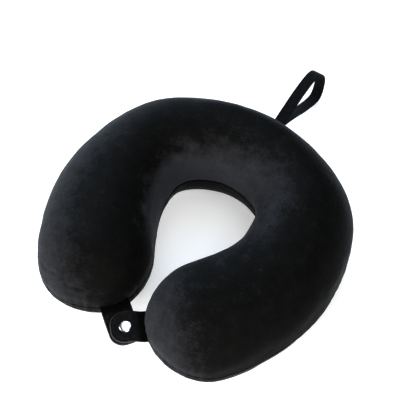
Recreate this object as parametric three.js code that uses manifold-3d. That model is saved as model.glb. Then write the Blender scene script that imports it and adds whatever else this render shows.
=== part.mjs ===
// A U shaped travel neck pillow: a memory foam core in a thin liner, inside a zipped velour cover
// made of a top and a bottom panel. Two snap tabs close the U at the front, and a webbing loop
// hangs the pillow from the middle of its back.
//
// Millimetres. +Z is up, the U opens towards -Y, and the pillow lies on the plane Z = 0.
import * as THREE from 'three';
import { ParametricGeometry } from 'three/addons/geometries/ParametricGeometry.js';
import { mergeVertices } from 'three/addons/utils/BufferGeometryUtils.js';
import Module from 'manifold-3d';

// The spine is the pillow's centre line in plan, from the middle of the back to the right tip.
const SPINE = [[0, 54.5], [85.5, 17.5], [101, -53.5], [80, -119], [29.5, -184]];
const SEAM_Z = 44; // height of the seam between the top and bottom panels
const HALF_WIDTH = [41.5, 41.5, 72.5, 54.5]; // Bezier values, from the back to a tip
const CROWN = [60, 60, 54, 61]; // height above the seam, Bezier values, from the back to a tip
const DEPTH = 46.8; // more than SEAM_Z, so that a strip of the underside lies flat
const TIP_LENGTH = 57; // length over which an arm rounds off
const TOP_ROUNDNESS = 2; // exponents of the section's superellipse
const OUTER_ROUNDNESS = 1.7;
const INNER_ROUNDNESS = 2.15;

const TIP_RINGS = 5;
const BODY_RINGS = 22;
const SIDES = 20;

const GAP = 0.3; // clearance between pieces that touch
const COVER = 2.6; // velour and its backing
const LINER = 1;
const SEAM_GAP = 0.3;
const LINER_SLIT = { length: 120, width: 1.5, fromY: 76, toY: 106 };
const BEYOND = 500; // further than any part of the pillow

// The zipper follows a circle along the seam. Angles run from +Y towards -X.
const ZIP = {
  x: -8.5, y: -70, radius: 163.2, from: 7, to: 47, panelCut: 6.6, cutDepth: 8, segments: 14,
  tapeFrom: 7.2, tapeTo: 46.8, tapeEdge: 0.6, tapeWidth: 5.7, tapeThickness: 0.6,
  coilFrom: 10, coilTo: 44.5, coilEdge: 0.5, coilWidth: 1.7, coilThickness: 1.4,
};
const STOP = { length: 1.8, width: 1.8, thickness: 1.6 };
const SLIDER = {
  angle: 12.1, length: 8.6, width: 6.6, outerPlate: 0.9, innerPlate: 0.7,
  flange: 0.7, webLength: 2, webWidth: 0.4,
};
const CROWN_BRIDGE = { length: 6, width: 1.6, height: 2.7, wall: 0.8 };
const PULL = {
  length: 22, width: 6, thickness: 1, windowWidth: 2.6, windowLength: 3.6, bar: 1, segments: 8,
};

// The tabs cross at the snap. The lower tab comes from the left arm, the upper from the right.
const SNAP = { x: 4.5, y: -187.6 };
const TAB = {
  slope: 36.4, width: 34, endRadius: 14, overhang: 15, rise: 3.7, bendShare: 0.6,
  outerPly: 1.3, innerPly: 0.35, stiffener: 0.25, tailLength: 12, postHole: 2.1,
  straightSteps: 8, cornerSteps: 5,
};
const HINGE_GAP = 0.25; // from a hinge's axis to the pieces on either side of it
const HINGE_BEVEL = 2.4; // how far a tab's root slants back for each mm of its thickness
const UPPER_TAB = { name: 'upper_tab', reach: 18.5, side: 1 };
const LOWER_TAB = { name: 'lower_tab', reach: 26.2, side: -1 };
const PRESS_STUD = {
  capRadius: 6.25, capRim: 0.8, capDome: 2.1, capSteps: 6, postRadius: 1.75, postEnd: 0.5,
  socketRadius: 5.5, socketHeight: 3, socketBore: 3, socketBoreDepth: 2.2,
  studRadius: 5.25, studFlange: 0.9, studBore: 1.5, neckRadius: 2.1, headRadius: 2.5,
  bulgeHeight: 1.4, headTopRadius: 2, headHeight: 2.3,
  eyeletRadius: 5.25, eyeletFlange: 0.7, tubeRadius: 1.2, roundSegments: 20,
};

// The loop's webbing, as it hangs from the seam at the middle of the back. y is measured
// outwards from the wall and z from the seam, along the middle of the strap.
const LOOP = {
  x: -4.2, wallY: 96, hingeOffset: 2.2, width: 13, thickness: 1.3, tailLength: 8, steps: 40,
  strap: [[14, 0.75], [59, 11.3], [91, 10.2], [107.5, -11], [101, -38], [72, -29.5], [37, -10.5],
    [14, -0.75]],
};

const LOOP_ROOT = LOOP.strap[0][1] + LOOP.thickness / 2; // half the thickness of both straps

const COLOURS = {
  velour: 0x16171b, webbing: 0x1c1c20, tab: 0x1a1b1e, tape: 0x141416, coil: 0x1b1b1d,
  nickel: 0xd6d7da, enamel: 0x1d1d1f, stiffener: 0xd8d8d4, liner: 0xe6e4de, foam: 0xece3c8,
};

const wasm = await Module();
wasm.setup();

const material = (color, roughness, metalness = 0) =>
  new THREE.MeshStandardMaterial({ color, roughness, metalness });
const MATERIALS = {
  velour: material(COLOURS.velour, 0.95),
  webbing: material(COLOURS.webbing, 0.85),
  tab: material(COLOURS.tab, 0.9),
  tape: material(COLOURS.tape, 0.9),
  coil: material(COLOURS.coil, 0.45),
  nickel: material(COLOURS.nickel, 0.25, 1),
  enamel: material(COLOURS.enamel, 0.35),
  stiffener: material(COLOURS.stiffener, 0.9),
  liner: material(COLOURS.liner, 0.9),
  foam: material(COLOURS.foam, 1),
};

const pillow = new THREE.Group();

// Solids

function weld(geometry) {
  geometry.deleteAttribute('normal');
  geometry.deleteAttribute('uv');
  const welded = mergeVertices(geometry);
  const corners = welded.getIndex().array;
  const kept = [];
  for (let i = 0; i < corners.length; i += 3) {
    const [a, b, c] = corners.slice(i, i + 3);
    if (a !== b && b !== c && c !== a) kept.push(a, b, c);
  }
  welded.setIndex(kept);
  return welded;
}

function solid(geometry) {
  const welded = weld(geometry);
  const mesh = new wasm.Mesh({
    numProp: 3,
    vertProperties: new Float32Array(welded.getAttribute('position').array),
    triVerts: new Uint32Array(welded.getIndex().array),
  });
  return new wasm.Manifold(mesh);
}

function geometryOf(manifold) {
  const mesh = manifold.getMesh();
  const geometry = new THREE.BufferGeometry();
  geometry.setAttribute('position', new THREE.BufferAttribute(mesh.vertProperties, 3));
  geometry.setIndex(new THREE.BufferAttribute(mesh.triVerts, 1));
  return geometry;
}

function addPiece(name, geometry, look, parent = pillow) {
  geometry.computeVertexNormals();
  const mesh = new THREE.Mesh(geometry, look);
  mesh.name = name;
  parent.add(mesh);
}

// A box from its lowest to its highest corner.
function box(low, high) {
  const size = high.map((value, i) => value - low[i]);
  const geometry = new THREE.BoxGeometry(...size);
  return geometry.translate(...low.map((value, i) => value + size[i] / 2));
}

// A turned piece about Z, from a profile of [radius, height] points.
function turned(profile) {
  const points = profile.map(([radius, height]) => new THREE.Vector2(radius, height));
  return new THREE.LatheGeometry(points, PRESS_STUD.roundSegments).rotateX(Math.PI / 2);
}

// The body of the pillow

const leftHalf = SPINE.slice(1).map(([x, y]) => [-x, y]);
const spine = new THREE.CatmullRomCurve3(
  [...[...SPINE].reverse(), ...leftHalf].map(([x, y]) => new THREE.Vector3(x, y, 0)),
);
const spineLength = spine.getLength();

function bezier([a, b, c, d], t) {
  const s = 1 - t;
  return s ** 3 * a + 3 * s * s * t * b + 3 * s * t * t * c + t ** 3 * d;
}

// Where a ring lies along the spine, and how far it has closed towards the tip. u runs from
// 0 at the right tip to 1 at the left tip.
function ringAt(u, inset) {
  const rings = 2 * TIP_RINGS + BODY_RINGS;
  const fromTip = Math.min(u, 1 - u) * rings;
  const tip = TIP_LENGTH - inset;
  let distance;
  let closing = 0;
  if (fromTip < TIP_RINGS) {
    closing = Math.cos((fromTip / TIP_RINGS) * (Math.PI / 2));
    distance = inset + tip * (1 - closing);
  } else {
    const share = (fromTip - TIP_RINGS) / BODY_RINGS;
    distance = TIP_LENGTH + share * (spineLength - 2 * TIP_LENGTH);
  }
  const place = u < 0.5 ? distance / spineLength : 1 - distance / spineLength;
  return { place, closing, reach: Math.abs(2 * place - 1) };
}

const signedPower = (value, power) => Math.sign(value) * Math.abs(value) ** power;
const superellipse = (closing, exponent) =>
  Math.max(0, 1 - closing ** exponent) ** (1 / exponent);

// The pillow's outer surface, or one that lies `inset` inside it.
function bodyGeometry(inset) {
  const centre = new THREE.Vector3();
  const tangent = new THREE.Vector3();
  const surface = (u, v, target) => {
    const { place, closing, reach } = ringAt(u, inset);
    spine.getPointAt(place, centre);
    spine.getTangentAt(place, tangent);
    const angle = 2 * Math.PI * v;
    const across = Math.cos(angle);
    const up = Math.sin(angle);
    const width = (bezier(HALF_WIDTH, reach) - inset) * superellipse(closing, TOP_ROUNDNESS);
    const lowRoundness = across > 0 ? OUTER_ROUNDNESS : INNER_ROUNDNESS;
    const roundness = up > 0 ? TOP_ROUNDNESS : lowRoundness;
    const crown = (bezier(CROWN, reach) - inset) * superellipse(closing, TOP_ROUNDNESS);
    const depth = (DEPTH - inset) * superellipse(closing, OUTER_ROUNDNESS);
    const out = width * signedPower(across, 2 / roundness);
    const height = (up > 0 ? crown : depth) * signedPower(up, 2 / roundness);
    target.set(
      centre.x + tangent.y * out,
      centre.y - tangent.x * out,
      Math.max(inset, SEAM_Z + height),
    );
  };
  return new ParametricGeometry(surface, 2 * TIP_RINGS + BODY_RINGS, SIDES);
}

const bodySolid = (inset) => solid(bodyGeometry(inset));
const coverOutside = bodySolid(0);
const coverInside = bodySolid(COVER);

// The zipper: parts of rings about its own centre

const zipAngle = (degrees) => THREE.MathUtils.degToRad(90 + degrees);

function zipRing(inner, outer, from, to, low, high) {
  const shape = new THREE.Shape();
  shape.absarc(0, 0, ZIP.radius + outer, zipAngle(from), zipAngle(to), false);
  shape.absarc(0, 0, ZIP.radius + inner, zipAngle(to), zipAngle(from), true);
  const depth = high - low;
  const options = { depth, curveSegments: ZIP.segments, bevelEnabled: false };
  const ring = new THREE.ExtrudeGeometry(shape, options);
  return ring.translate(ZIP.x, ZIP.y, SEAM_Z + low);
}

// A group at an angle round the zipper: +X along the teeth, +Y outwards, +Z up.
function zipGroup(degrees) {
  const group = new THREE.Group();
  const angle = zipAngle(degrees);
  group.position.set(
    ZIP.x + ZIP.radius * Math.cos(angle),
    ZIP.y + ZIP.radius * Math.sin(angle),
    SEAM_Z,
  );
  group.rotation.z = angle - Math.PI / 2;
  pillow.add(group);
  return group;
}

// The span between two heights, on one side of the seam.
const span = (sign, near, far) => (sign > 0 ? [near, far] : [-far, -near]);

function addZipper() {
  const tapeFar = ZIP.tapeEdge + ZIP.tapeWidth;
  const coilFar = ZIP.coilEdge + ZIP.coilWidth;
  const tapeIn = -GAP - ZIP.tapeThickness;
  for (const [side, sign] of [['upper', 1], ['lower', -1]]) {
    const tape = zipRing(tapeIn, -GAP, ZIP.tapeFrom, ZIP.tapeTo, ...span(sign, ZIP.tapeEdge, tapeFar));
    addPiece(`zipper_tape_${side}`, tape, MATERIALS.tape);
    const coil = zipRing(
      0, ZIP.coilThickness, ZIP.coilFrom, ZIP.coilTo, ...span(sign, ZIP.coilEdge, coilFar),
    );
    addPiece(`zipper_coil_${side}`, coil, MATERIALS.coil);
    const [low, high] = span(sign, ZIP.coilEdge, ZIP.coilEdge + STOP.width);
    const stop = box([GAP, 0, low], [GAP + STOP.length, STOP.thickness, high]);
    addPiece(`zipper_top_stop_${side}`, stop, MATERIALS.enamel, zipGroup(ZIP.coilFrom));
  }
  const bottom = box([-GAP - STOP.length, 0, -coilFar], [-GAP, STOP.thickness, coilFar]);
  addPiece('zipper_bottom_stop', bottom, MATERIALS.enamel, zipGroup(ZIP.coilTo));
}

// Two plates joined by the web that parts the teeth, side flanges, and a bridge for the pull.
function sliderGeometry() {
  const { length, width, flange } = SLIDER;
  const outerLow = ZIP.coilThickness + GAP;
  const outerHigh = outerLow + SLIDER.outerPlate;
  const innerHigh = -2 * GAP - ZIP.tapeThickness;
  const innerLow = innerHigh - SLIDER.innerPlate;
  const half = length / 2;
  const edge = width / 2;
  const bridge = CROWN_BRIDGE.length / 2;
  const bridgeTop = outerHigh + CROWN_BRIDGE.height;
  const blocks = [
    box([-half, outerLow, -edge], [half, outerHigh, edge]),
    box([-half, innerLow, -edge], [half, innerHigh, edge]),
    box([half - SLIDER.webLength, innerLow, -SLIDER.webWidth / 2],
      [half, outerHigh, SLIDER.webWidth / 2]),
    box([-half, 0, edge - flange], [half, outerHigh, edge]),
    box([-half, 0, -edge], [half, outerHigh, flange - edge]),
    box([-bridge, outerLow, -CROWN_BRIDGE.width / 2],
      [bridge, bridgeTop, CROWN_BRIDGE.width / 2]),
  ];
  const window = box(
    [CROWN_BRIDGE.wall - bridge, outerHigh, -CROWN_BRIDGE.width],
    [bridge - CROWN_BRIDGE.wall, bridgeTop - CROWN_BRIDGE.wall, CROWN_BRIDGE.width],
  );
  const joined = blocks.map(solid).reduce((all, block) => all.add(block));
  return geometryOf(joined.subtract(solid(window)));
}

// A flat pull with a window at one end, whose end bar sits inside the slider's bridge.
function pullGeometry() {
  const half = PULL.width / 2;
  const tipCentre = PULL.length - half;
  const shape = new THREE.Shape();
  shape.moveTo(-PULL.bar / 2, -half);
  shape.lineTo(tipCentre, -half);
  shape.absarc(tipCentre, 0, half, -Math.PI / 2, Math.PI / 2, false);
  shape.lineTo(-PULL.bar / 2, half);
  shape.closePath();
  const window = new THREE.Path();
  const windowHalf = PULL.windowWidth / 2;
  window.moveTo(PULL.bar / 2, -windowHalf);
  window.lineTo(PULL.bar / 2, windowHalf);
  window.lineTo(PULL.bar / 2 + PULL.windowLength, windowHalf);
  window.lineTo(PULL.bar / 2 + PULL.windowLength, -windowHalf);
  window.closePath();
  shape.holes.push(window);
  const plate = new THREE.ExtrudeGeometry(shape, {
    depth: PULL.thickness, curveSegments: PULL.segments, bevelEnabled: false,
  });
  plate.translate(0, 0, -PULL.thickness / 2);
  return plate.rotateX(Math.PI / 2).rotateZ(Math.PI);
}

function addSlider() {
  const group = zipGroup(SLIDER.angle);
  addPiece('zipper_slider', sliderGeometry(), MATERIALS.enamel, group);
  const pull = new THREE.Group();
  const plateTop = ZIP.coilThickness + GAP + SLIDER.outerPlate;
  pull.position.y = plateTop + (CROWN_BRIDGE.height - CROWN_BRIDGE.wall) / 2;
  group.add(pull);
  addPiece('zipper_pull', pullGeometry(), MATERIALS.enamel, pull);
}

// The tabs

// A group at a tab's hinge: +X towards the tab's free end, +Z up, at the seam's height.
function tabGroup(tab) {
  const slope = THREE.MathUtils.degToRad(TAB.slope);
  const group = new THREE.Group();
  group.position.set(
    SNAP.x + tab.side * tab.reach * Math.cos(slope),
    SNAP.y + tab.reach * Math.sin(slope),
    SEAM_Z,
  );
  group.rotation.z = tab.side > 0 ? Math.PI + slope : -slope;
  group.updateMatrixWorld();
  return group;
}

// One ply of a tab between two heights about the tab's middle, which bends by TAB.rise. Its root
// slants back on the side that the tab folds to.
function plyGeometry(tab, low, high) {
  const steps = TAB.straightSteps + TAB.cornerSteps;
  const straight = tab.reach + TAB.overhang - TAB.endRadius;
  const ply = new THREE.BoxGeometry(1, 1, 1, steps, 1, 1);
  const corners = ply.getAttribute('position');
  for (let i = 0; i < corners.count; i += 1) {
    const step = (corners.getX(i) + 0.5) * steps;
    const turn = (Math.max(0, step - TAB.straightSteps) / TAB.cornerSteps) * (Math.PI / 2);
    const share = Math.min(1, step / TAB.straightSteps);
    const height = corners.getZ(i) < 0 ? low : high;
    const start = HINGE_GAP + HINGE_BEVEL * Math.max(0, tab.side * height);
    const along = start + share * (straight - start) + TAB.endRadius * Math.sin(turn);
    const halfWidth = TAB.width / 2 - TAB.endRadius * (1 - Math.cos(turn));
    const bend = THREE.MathUtils.smoothstep(along, 0, tab.reach * TAB.bendShare);
    corners.setXYZ(
      i, along, corners.getY(i) * 2 * halfWidth, tab.side * TAB.rise * bend + height,
    );
  }
  return ply;
}

function pierced(geometry, reach) {
  const hole = new THREE.CylinderGeometry(
    TAB.postHole, TAB.postHole, 4 * TAB.rise, PRESS_STUD.roundSegments,
  );
  hole.rotateX(Math.PI / 2).translate(reach, 0, 0);
  return geometryOf(solid(geometry).subtract(solid(hole)));
}

function addTab(tab) {
  const group = tabGroup(tab);
  pillow.add(group);
  const plies = {
    top_ply: [TAB.innerPly, TAB.outerPly],
    stiffener: [-TAB.stiffener, TAB.stiffener],
    bottom_ply: [-TAB.outerPly, -TAB.innerPly],
  };
  for (const [name, heights] of Object.entries(plies)) {
    const ply = pierced(plyGeometry(tab, ...heights), tab.reach);
    const look = name === 'stiffener' ? MATERIALS.stiffener : MATERIALS.tab;
    addPiece(`${tab.name}_${name}`, ply, look, group);
  }
  return group;
}

// The end of a tab or loop that is sewn into the seam, from its hinge to the inside of the cover,
// and the slightly larger notch that it takes out of the cover.
function sewnEnd(name, group, length, halfWidth, halfThickness, look) {
  const block = (grow) => solid(box(
    [-length - grow, -halfWidth - grow, -halfThickness - grow],
    [-HINGE_GAP + grow, halfWidth + grow, halfThickness + grow],
  ).applyMatrix4(group.matrixWorld));
  return { name, look, block: block(0), grown: block(GAP) };
}

// The press stud: the cap and socket are clinched to the upper tab, the stud and eyelet to the lower

function addPressStud(upper, lower) {
  const p = PRESS_STUD;
  const upperTop = TAB.rise + TAB.outerPly + GAP;
  const upperBottom = TAB.rise - TAB.outerPly - GAP;
  const postLow = upperBottom - upperTop - p.postEnd;
  const cap = [[0, postLow], [p.postRadius, postLow], [p.postRadius, 0], [p.capRadius, 0]];
  for (let i = p.capSteps; i >= 0; i -= 1) {
    const turn = (i / p.capSteps) * (Math.PI / 2);
    cap.push([p.capRadius * Math.sin(turn), p.capRim + (p.capDome - p.capRim) * Math.cos(turn)]);
  }
  const capGeometry = turned(cap).translate(UPPER_TAB.reach, 0, upperTop);
  addPiece('snap_cap', capGeometry, MATERIALS.nickel, upper);

  const socketLow = upperBottom - p.socketHeight;
  const boreTop = socketLow + p.socketBoreDepth;
  const socket = [
    [p.socketBore, socketLow], [p.socketRadius, socketLow], [p.socketRadius, upperBottom],
    [TAB.postHole, upperBottom], [TAB.postHole, boreTop], [p.socketBore, boreTop],
    [p.socketBore, socketLow],
  ];
  addPiece('snap_socket', turned(socket).translate(UPPER_TAB.reach, 0, 0), MATERIALS.nickel, upper);

  const studLow = -TAB.rise + TAB.outerPly + GAP;
  const studTop = studLow + p.studFlange;
  const headTop = studTop + p.headHeight;
  const stud = [
    [p.studBore, studLow], [p.studRadius, studLow], [p.studRadius, studTop],
    [p.neckRadius, studTop], [p.headRadius, studTop + p.bulgeHeight], [p.headTopRadius, headTop],
    [p.studBore, headTop], [p.studBore, studLow],
  ];
  addPiece('snap_stud', turned(stud).translate(LOWER_TAB.reach, 0, 0), MATERIALS.nickel, lower);

  const eyeletTop = -TAB.rise - TAB.outerPly - GAP;
  const eyeletLow = eyeletTop - p.eyeletFlange;
  const eyelet = [
    [0, eyeletLow], [p.eyeletRadius, eyeletLow], [p.eyeletRadius, eyeletTop],
    [p.tubeRadius, eyeletTop], [p.tubeRadius, studTop], [0, studTop],
  ];
  addPiece('snap_eyelet', turned(eyelet).translate(LOWER_TAB.reach, 0, 0), MATERIALS.nickel, lower);
}

// The hanging loop

const loopGroup = new THREE.Group();
loopGroup.position.set(LOOP.x, LOOP.wallY + LOOP.hingeOffset, SEAM_Z);
loopGroup.rotation.z = Math.PI / 2;
loopGroup.updateMatrixWorld();

// The strap's outline in side view, from the hinge round the eye and back, extruded to its width.
// Its root is pointed, so that it can swing both ways.
function loopGeometry() {
  const middle = new THREE.SplineCurve(LOOP.strap.map(([out, up]) => new THREE.Vector2(out, up)));
  const side = (offset) => Array.from({ length: LOOP.steps + 1 }, (_, i) => {
    const point = middle.getPointAt(i / LOOP.steps);
    const tangent = middle.getTangentAt(i / LOOP.steps);
    return new THREE.Vector2(point.x - tangent.y * offset, point.y + tangent.x * offset);
  });
  const start = LOOP.hingeOffset + HINGE_GAP;
  const shoulder = start + HINGE_BEVEL * LOOP_ROOT;
  const shape = new THREE.Shape([
    new THREE.Vector2(start, 0),
    new THREE.Vector2(shoulder, LOOP_ROOT),
    ...side(LOOP.thickness / 2),
    new THREE.Vector2(shoulder, -LOOP_ROOT),
  ]);
  shape.holes.push(new THREE.Path(side(-LOOP.thickness / 2).reverse()));
  const strap = new THREE.ExtrudeGeometry(shape, { depth: LOOP.width, bevelEnabled: false });
  strap.translate(-LOOP.hingeOffset, 0, -LOOP.width / 2);
  return strap.rotateX(Math.PI / 2);
}

function addLoop() {
  pillow.add(loopGroup);
  addPiece('hanging_loop', loopGeometry(), MATERIALS.webbing, loopGroup);
}

// The cover, liner and foam

// Everything on one side of the seam, down or up to `edge` from it.
function halfSpace(sign, edge) {
  const [low, high] = span(sign, edge, BEYOND);
  return solid(box([-BEYOND, -BEYOND, SEAM_Z + low], [BEYOND, BEYOND, SEAM_Z + high]));
}

function addBody(sewnEnds) {
  const zipCut = zipRing(
    -ZIP.cutDepth, ZIP.cutDepth, ZIP.from, ZIP.to, -ZIP.panelCut, ZIP.panelCut,
  );
  let cover = coverOutside.subtract(coverInside).subtract(solid(zipCut));
  for (const { name, look, block, grown } of sewnEnds) {
    addPiece(name, geometryOf(block.subtract(coverInside)), look);
    cover = cover.subtract(grown);
  }
  const panels = { cover_top_panel: 1, cover_bottom_panel: -1 };
  for (const [name, sign] of Object.entries(panels)) {
    addPiece(name, geometryOf(cover.intersect(halfSpace(sign, SEAM_GAP / 2))), MATERIALS.velour);
  }
  const { length, width, fromY, toY } = LINER_SLIT;
  const slit = box(
    [-length / 2, fromY, SEAM_Z - width / 2],
    [length / 2, toY, SEAM_Z + width / 2],
  );
  const linerInset = COVER + GAP;
  const liner = bodySolid(linerInset).subtract(bodySolid(linerInset + LINER)).subtract(solid(slit));
  addPiece('inner_liner', geometryOf(liner), MATERIALS.liner);
  addPiece('foam_core', weld(bodyGeometry(linerInset + LINER + GAP)), MATERIALS.foam);
}

addZipper();
addSlider();
const upperGroup = addTab(UPPER_TAB);
const lowerGroup = addTab(LOWER_TAB);
addPressStud(upperGroup, lowerGroup);
addLoop();
const tabTail = [TAB.tailLength, TAB.width / 2, TAB.outerPly, MATERIALS.tab];
const loopTail = [LOOP.tailLength, LOOP.width / 2, LOOP_ROOT, MATERIALS.webbing];
addBody([
  sewnEnd('upper_tab_sewn_end', upperGroup, ...tabTail),
  sewnEnd('lower_tab_sewn_end', lowerGroup, ...tabTail),
  sewnEnd('hanging_loop_sewn_end', loopGroup, ...loopTail),
]);

export default pillow;
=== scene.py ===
import math

import bmesh
import bpy
import numpy as np
from numpy.linalg import norm
from mathutils import Matrix, Vector, noise
from mathutils.bvhtree import BVHTree


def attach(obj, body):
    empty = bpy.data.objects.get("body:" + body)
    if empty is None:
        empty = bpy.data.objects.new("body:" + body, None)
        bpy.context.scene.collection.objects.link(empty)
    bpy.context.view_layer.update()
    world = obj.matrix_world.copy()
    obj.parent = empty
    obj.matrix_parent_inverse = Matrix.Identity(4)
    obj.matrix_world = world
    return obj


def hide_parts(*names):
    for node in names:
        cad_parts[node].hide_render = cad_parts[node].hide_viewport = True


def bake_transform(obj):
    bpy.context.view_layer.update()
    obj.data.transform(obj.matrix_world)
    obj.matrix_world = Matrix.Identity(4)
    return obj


# A U shaped travel neck pillow in black velour, with two snap tabs and a webbing loop.
# Metres, in the CAD model's frame: +Z up, the U opens towards -Y, and the pillow lies on Z = 0.
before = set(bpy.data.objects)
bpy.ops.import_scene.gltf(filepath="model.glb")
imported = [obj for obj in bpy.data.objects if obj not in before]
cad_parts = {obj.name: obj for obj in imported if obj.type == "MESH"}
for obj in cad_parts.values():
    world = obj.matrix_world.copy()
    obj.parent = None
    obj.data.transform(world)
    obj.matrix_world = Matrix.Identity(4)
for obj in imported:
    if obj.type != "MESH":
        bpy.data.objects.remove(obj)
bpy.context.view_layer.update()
MM = 0.001

# The camera turns about a point in the pillow.
CAMERA = {"azimuth": 33.7, "elevation": 55.48, "distance": 1.195, "target": (-0.0213, -0.0188, 0.040),
          "lens": 102.4, "sensor": 36.0}

# The body, in millimetres, with the CAD model's shape. The cover adds its own small forms to it.
SPINE = [(0, 54.5), (85.5, 17.5), (101, -53.5), (80, -119), (29.5, -184)]
SEAM_Z = 44.0
HALF_WIDTH = (41.5, 41.5, 72.5, 54.5)
CROWN = (60, 60, 54, 61)
DEPTH = 46.8
TIP_LENGTH = 57.0
TOP_ROUNDNESS, OUTER_ROUNDNESS, INNER_ROUNDNESS = 2.0, 1.7, 2.15
SPINE_STEPS = 200  # points of each span between two of the spine's knots

# The cover
COVER = 1.8  # thickness of the velour and its backing
PARTING = 0.06  # half the gap between the two panels in the seam
OPENING = {"tab_across": (16.6, 20.0), "tab_along": (14, 20), "round_tab": 0.12,
           "loop_across": (6.4, 9.2), "loop_from": (60, 80), "loop": 1.5}
TIP_RINGS, BODY_RINGS, SIDES = 64, 300, 96
SIDE_CROWDING = 0.86  # how much closer the rows lie near the seam
EASING = {"rings": 56, "spread": 2.5, "inside": (-0.2, 0.75), "tips": (0.6, 1.4)}  # of a bend's inside
UNEVEN = [(0.55, 34, 1), (0.3, 15, 2)]  # the height, size and seed of each layer of noise
PUCKER = {"size": 5.5, "seed": 3, "reach": 9, "height": 0.45, "tip_height": 1.0, "tip": (18, 60)}
LIP = {"radius": 2.0, "less_at_zipper": 0.6, "uneven": 0.25, "size": 8, "seed": 4}  # where a panel rolls in
NOISE_STEPS = (7.3, 3.1, 5.7)  # how far apart the noises of two seeds are taken

# The cloth simulation, in metres, and what is kept of it, in millimetres
SKIN = {"rings": 24, "body_rings": 110, "sides": 44, "voxel": 0.005, "seam_reach": 0.004,
        "frames": 20, "common_percent": 30, "most": 1.6, "smoothings": 6}
CLOTH = {"quality": 6, "mass": 0.25, "tension_stiffness": 12, "compression_stiffness": 12,
         "shear_stiffness": 4, "bending_stiffness": 0.4, "use_pressure": True,
         "uniform_pressure_force": 4, "vertex_group_shrink": "seam", "shrink_min": 0.0, "shrink_max": 0.04}

# Inside the cover
LINER = {"inset": 5.2, "thickness": 0.8}
FOAM_INSET = 6.4
INNER_RINGS, INNER_BODY_RINGS, INNER_SIDES = 16, 90, 48

# Creases in the left arm's end: where each starts and ends, from the tip and up from the seam.
CREASES = [((44, 25), (36, 27)), ((36, 27), (29, 33)), ((15.5, 28.5), (9, 30.5))]
CREASE_DEPTH, CREASE_WIDTH = 1.1, 1.9

# The cover differs from the body in two places: the right arm's end is fuller on its inner side, and
# its top panel leans into the hole further back.
FULLNESS = {"height": 2.4, "across": (20, 75), "along": (40, 100)}
BULGE = {"centre": (54, -15), "radius": 21, "height": 6, "rise": (3, 18)}

# The tabs. The upper one lies further round the snap than the CAD model's, and the lower one is
# narrower on its inner side.
SNAP = (4.5, -187.6)
SNAP_SIDES = 96
TAB = {"width": 34.0, "end_radius": 14.0, "overhang": 15.0, "rise": 3.7, "bend_share": 0.6,
       "half_thickness": 1.3, "sewn_in": 3.6, "root": 6, "joint": (-2.0, 4.5)}
TAB_ROWS = {"root": 16, "straight": 40, "corner": 26, "columns": 57, "crowding": 0.92}
TAB_WALL = {"rings": 48, "body_rings": 40, "along": 22, "across": 26}  # the wall that a tab leaves
EDGE = {"from": -12, "side": 59, "corner": 40}  # points of half a tab's outline
HEM = {"height": 0.1, "inset": 1.5, "width": 1.0}
GROOVE = {"depth": 0.32, "width": 0.55}
DENT = {"depth": 0.25, "rim": (5.5, 9.5)}  # round the snap
SOFTNESS = {"height": 0.25, "size": 9, "seed": 5, "edge": (0, 3), "root": (2, 8)}
EDGE_AND_ROOT_SHADING = {"edge": 0.6, "edge_from": (4, 12), "root": 0.8, "root_to": (1, 7)}  # painted highlight along the edge, painted shade at the root
STITCH = {"inset": 3.1, "length": 2.1, "radius": 0.24, "pitch": 2.7, "from": 6.5, "droop": 0.35,
          "ahead": 0.5, "rings": 7, "sides": 8}
UPPER = {"name": "upper_tab", "reach": 18.5, "side": 1, "slope": 42.0, "inner_share": 1.0}
LOWER = {"name": "lower_tab", "reach": 26.2, "side": -1, "slope": 36.4, "inner_share": 0.8}

# The loop: [out from the wall, up from the seam] along the middle of the strap.
LOOP = {"x": -4.2, "wall_y": 96.0, "width": 13.0, "thickness": 1.3, "hinge": 2.2, "joint": (-3, 4),
        "squareness": (0.3, 0.55), "fill": 0.94, "steps": 220, "span_steps": 60, "sides": 44,
        "selvedge": 0.12, "selvedge_inset": 0.9, "selvedge_width": 0.6,
        "strap": [(-4, 0.75), (14, 0.75), (59, 11.3), (91, 10.2), (107.5, -11), (101, -38),
                  (72, -29.5), (37, -10.5), (14, -0.75), (-4, -0.75)]}

# The zipper follows a circle. Angles in degrees from +Y towards -X.
ZIP = {"x": -8.5, "y": -70.0, "radius": 163.2, "from": 7.2, "to": 46.8, "coil_from": 10.0,
       "coil_to": 44.5, "opening": 5.2, "end": 2.2, "inside": (130, 145), "steps": 120,
       "tape_out": -0.9, "tape_width": 8.0, "tape_thickness": 0.6, "pitch": 1.5}
TOOTH = {"rings": 9, "sides": 10, "out": 0.7, "middle": 0.72, "half_length": 1.5, "half_width": 0.36,
         "half_depth": 0.62, "head": 0.2, "head_place": -0.75, "head_width": 0.25}
BROKEN_EDGE = 0.22  # of the zipper's metal pieces

# The velour's tones, by its mottle plus painted light and shade. The rows and rings where the inner
# slope is painted pale are shares of a panel's width and length.
VELOUR = {"sheen": 0.05, "specular": 0.02, "mottle_share": 0.45, "grain_share": 0.42,
          "tones": [(0.215, (0.0011, 0.0011, 0.0009)), (0.465, (0.003, 0.003, 0.0028)),
                    (0.935, (0.023, 0.0236, 0.0268))]}
# Painted light and shade on the velour: paler where it faces the front-left lights and on the inner slope,
# darker where it faces away.
PAINTED_SHADING = {"facing": (-0.8, -0.58, -0.12), "pale": 0.38, "dark": 0.1, "inner": 0.24, "inner_side": 0.5,
       "inner_rows": (0.57, 0.76), "inner_rings": (0.12, 0.21), "power": 0.9,
       "under_rows": (0.05, 0.3), "under_rings": (0.03, 0.06), "borders": [(0.035, 13, 8), (0.02, 5, 9)]}

# Woven cloth
PAINTED_EDGE_HIGHLIGHT, SHADED_ROOT = 6, 0.15  # a tab's tones at its painted highlight along the edge and its painted shade at the root
WEAVE_SHARE = 0.35  # of the weave in the cloth's tone, beside its worn threads
WAVE_UNIT = 2 * math.pi * 3.2  # about the wave number of a wave texture of scale 1
GLOSS_SPREAD = (0.7, 1.4)  # from wiped to dull metal

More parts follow.
